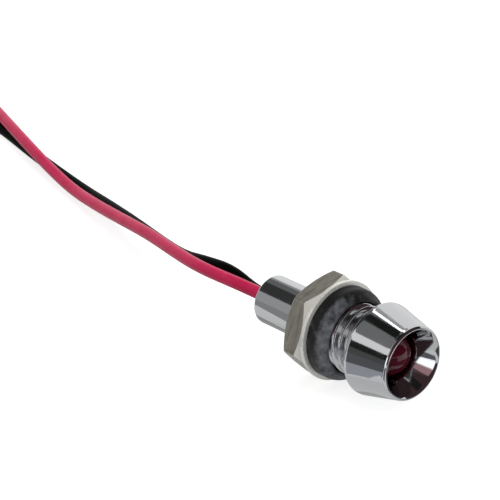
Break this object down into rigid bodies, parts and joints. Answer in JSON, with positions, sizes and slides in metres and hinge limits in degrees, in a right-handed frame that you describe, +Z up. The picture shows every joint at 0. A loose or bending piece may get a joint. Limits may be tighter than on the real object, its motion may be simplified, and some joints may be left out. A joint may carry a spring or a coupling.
{
  "type": "panel mount indicator light",
  "caption": "Small round panel indicator light: chromed conical bezel with a recessed red lens, threaded neck, rubber seal, washer and hex nut, slim rear tube and flying leads.",
  "frame": {"origin": "on the light's axis, in the plane of the bezel's rear seat, where the front face of the panel comes", "axes": "+Y along the axis from the lens to the rear tube, +Z up from the surface that the light lies on, +X to the right seen from the front; the light lies on its side on a corner of its nut, and its two leads run off along +Y to a tied coil"},
  "size_m": [0.0357, 0.1292, 0.0118],
  "materials": {
    "chromed_brass": "polished chrome plate on turned brass",
    "nickel_nut": "satin nickel plate on brass",
    "bright_washer": "bright zinc plate",
    "lens_epoxy": "clear dyed epoxy, dark wine red when unlit",
    "tinned_leg": "tin plate",
    "light_die": "sawn semiconductor",
    "bush_nylon": "natural nylon",
    "resistor_body": "tan lacquer",
    "solder": "bright solder",
    "tinned_strands": "tinned copper strands",
    "shrink_black": "heat-shrunk tube",
    "potting_black": "cured epoxy",
    "seal_rubber": "moulded black rubber",
    "red_pvc": "satin red PVC",
    "black_pvc": "satin black PVC",
    "tie_nylon": "natural nylon band"
  },
  "bodies": {
    "root": {"housing": "chromed_brass", "rear_tube": "chromed_brass", "lens": "lens_epoxy", "anode_post": "tinned_leg", "cathode_post": "tinned_leg", "light_die": "light_die", "insulating_bush": "bush_nylon", "resistor": "resistor_body", "resistor_front_wire": "tinned_leg", "resistor_rear_wire": "tinned_leg", "red_core": "tinned_strands", "black_core": "tinned_strands", "solder_anode": "solder", "solder_cathode": "solder", "solder_resistor": "solder", "red_sleeve": "shrink_black", "black_sleeve": "shrink_black", "potting": "potting_black", "rubber_seal": "seal_rubber", "lock_washer": "bright_washer", "hex_nut": "nickel_nut", "red_lead": "red_pvc", "black_lead": "black_pvc", "red_coil": "red_pvc", "black_coil": "black_pvc", "red_tail": "red_pvc", "black_tail": "black_pvc", "red_tip": "tinned_strands", "black_tip": "tinned_strands", "coil_tie": "tie_nylon"}
  },
  "joints": []
}
